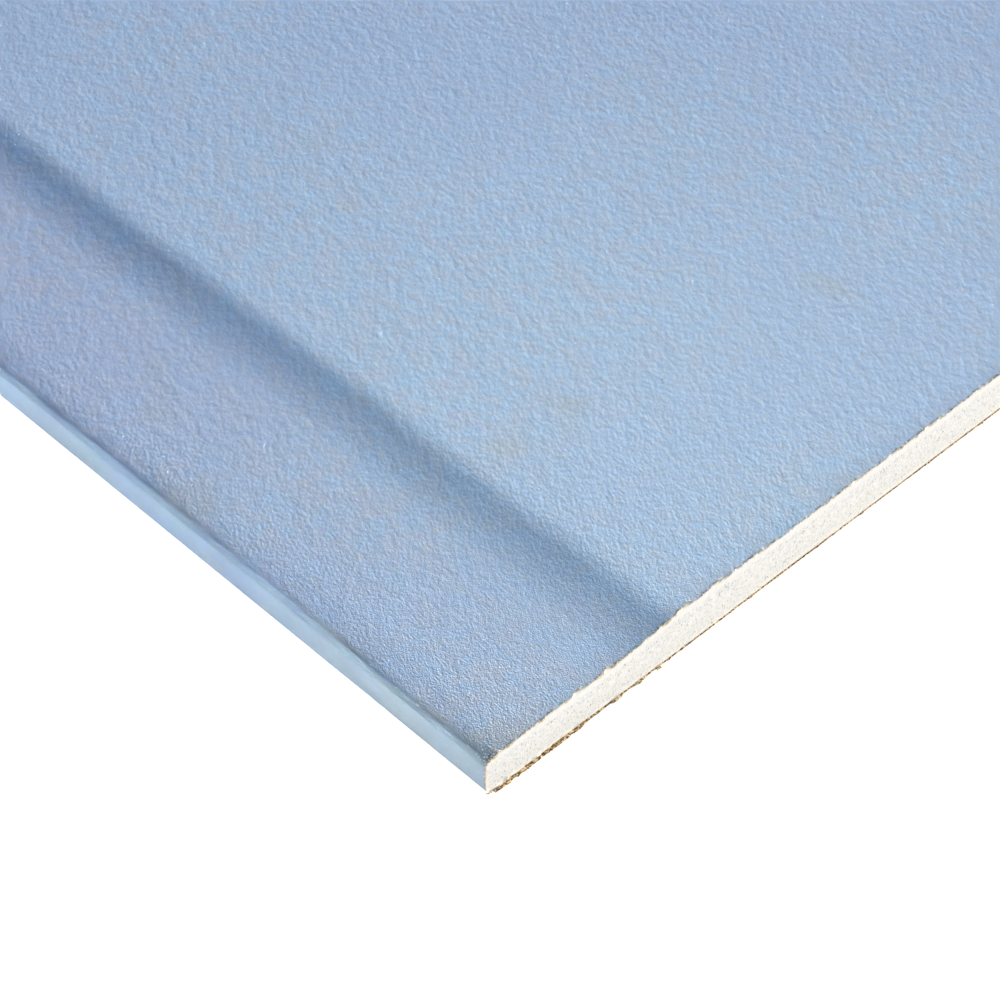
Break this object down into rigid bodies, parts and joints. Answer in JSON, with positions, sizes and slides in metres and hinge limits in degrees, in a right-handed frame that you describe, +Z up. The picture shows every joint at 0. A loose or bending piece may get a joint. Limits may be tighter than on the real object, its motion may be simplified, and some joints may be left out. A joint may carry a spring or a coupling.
{
  "type": "drywall sheet",
  "caption": "Flat rectangular gypsum board with a blue paper face, brown paper back, tapered rounded long edges and square-cut ends exposing the white core.",
  "frame": {"origin": "centre of the underside, on the plane the sheet rests on", "axes": "+X along the 2.4 m length, +Y across the 1.2 m width, +Z up through the thickness, out of the blue face"},
  "size_m": [2.4, 1.2, 0.0125],
  "materials": {
    "gypsum": "matte, fine-pored, cream white",
    "face_liner": "matte, felt-like grain, dusty blue",
    "back_liner": "matte, fibrous, kraft brown"
  },
  "bodies": {
    "root": {"gypsum_core": "gypsum", "face_paper": "face_liner", "back_paper": "back_liner"}
  },
  "joints": []
}
